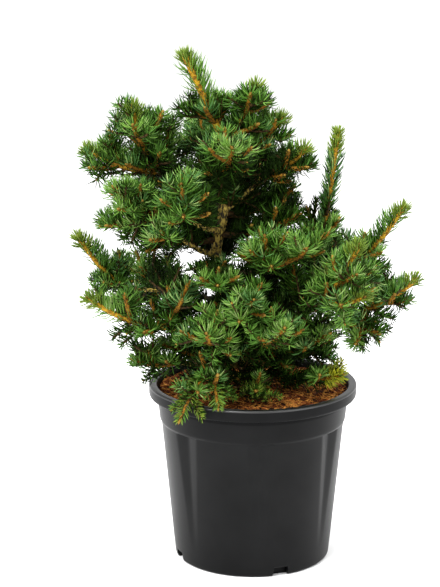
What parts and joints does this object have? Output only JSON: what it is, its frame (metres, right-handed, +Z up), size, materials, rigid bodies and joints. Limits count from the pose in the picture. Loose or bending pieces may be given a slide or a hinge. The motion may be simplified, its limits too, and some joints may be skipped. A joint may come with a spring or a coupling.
{
  "type": "potted dwarf Colorado spruce",
  "caption": "Dwarf spruce with a leaning trunk, open boughs and bushy needled shoots, growing in a round fluted nursery pot filled with potting bark.",
  "frame": {"origin": "middle of the pot's flat underside", "axes": "+Z up, -Y to the front of the picture, +X to the picture's right"},
  "size_m": [0.4414, 0.3577, 0.6523],
  "materials": {
    "pot_plastic": "satin",
    "potting_bark": "matte",
    "bark": "matte",
    "needles_green": "satin",
    "needles_yellow": "satin"
  },
  "bodies": {
    "root": {"pot": "pot_plastic", "pot_filling": "potting_bark", "trunk": "bark", "bough_right_upper": "bark", "bough_upper_left": "bark", "bough_left_shelf": "bark", "bough_front_bright": "bark", "bough_left_mid": "bark", "bough_far_left": "bark", "bough_left_arm": "bark", "bough_rim_left": "bark", "bough_over_rim": "bark", "bough_front_low": "bark", "bough_centre_upright": "bark", "bough_upright": "bark", "bough_right_up": "bark", "bough_right_arm": "bark", "bough_right_tip": "bark", "bough_back_upper_left": "bark", "bough_back_left": "bark", "bough_back_mid": "bark", "bough_back_right": "bark", "bough_back_low": "bark", "mass_leader": "needles_green", "mass_top_right": "needles_green", "mass_right_top": "needles_green", "mass_upper_front": "needles_green", "mass_right_upper": "needles_green", "mass_right_mid": "needles_green", "mass_upper_left": "needles_green", "mass_left_shelf": "needles_green", "mass_front_bright": "needles_green", "mass_left_inner": "needles_green", "mass_left_mid": "needles_green", "mass_far_left": "needles_green", "mass_left_arm": "needles_green", "mass_left_low": "needles_green", "mass_rim_left": "needles_green", "mass_over_rim": "needles_green", "mass_front_low": "needles_green", "mass_front_mid": "needles_green", "mass_front_right": "needles_green", "mass_right_front_low": "needles_green", "mass_centre_upright": "needles_green", "mass_right_heads": "needles_green", "mass_upright": "needles_green", "mass_right_up": "needles_green", "mass_right_arm": "needles_green", "mass_right_mid_front": "needles_green", "mass_right_tip": "needles_green", "mass_right_low": "needles_green", "mass_yellow_low": "needles_yellow", "mass_soil_front": "needles_green", "mass_back_top": "needles_green", "mass_back_upper_left": "needles_green", "mass_back_upper_right": "needles_green", "mass_back_left": "needles_green", "mass_back_mid": "needles_green", "mass_back_right": "needles_green", "mass_back_low": "needles_green"}
  },
  "joints": []
}
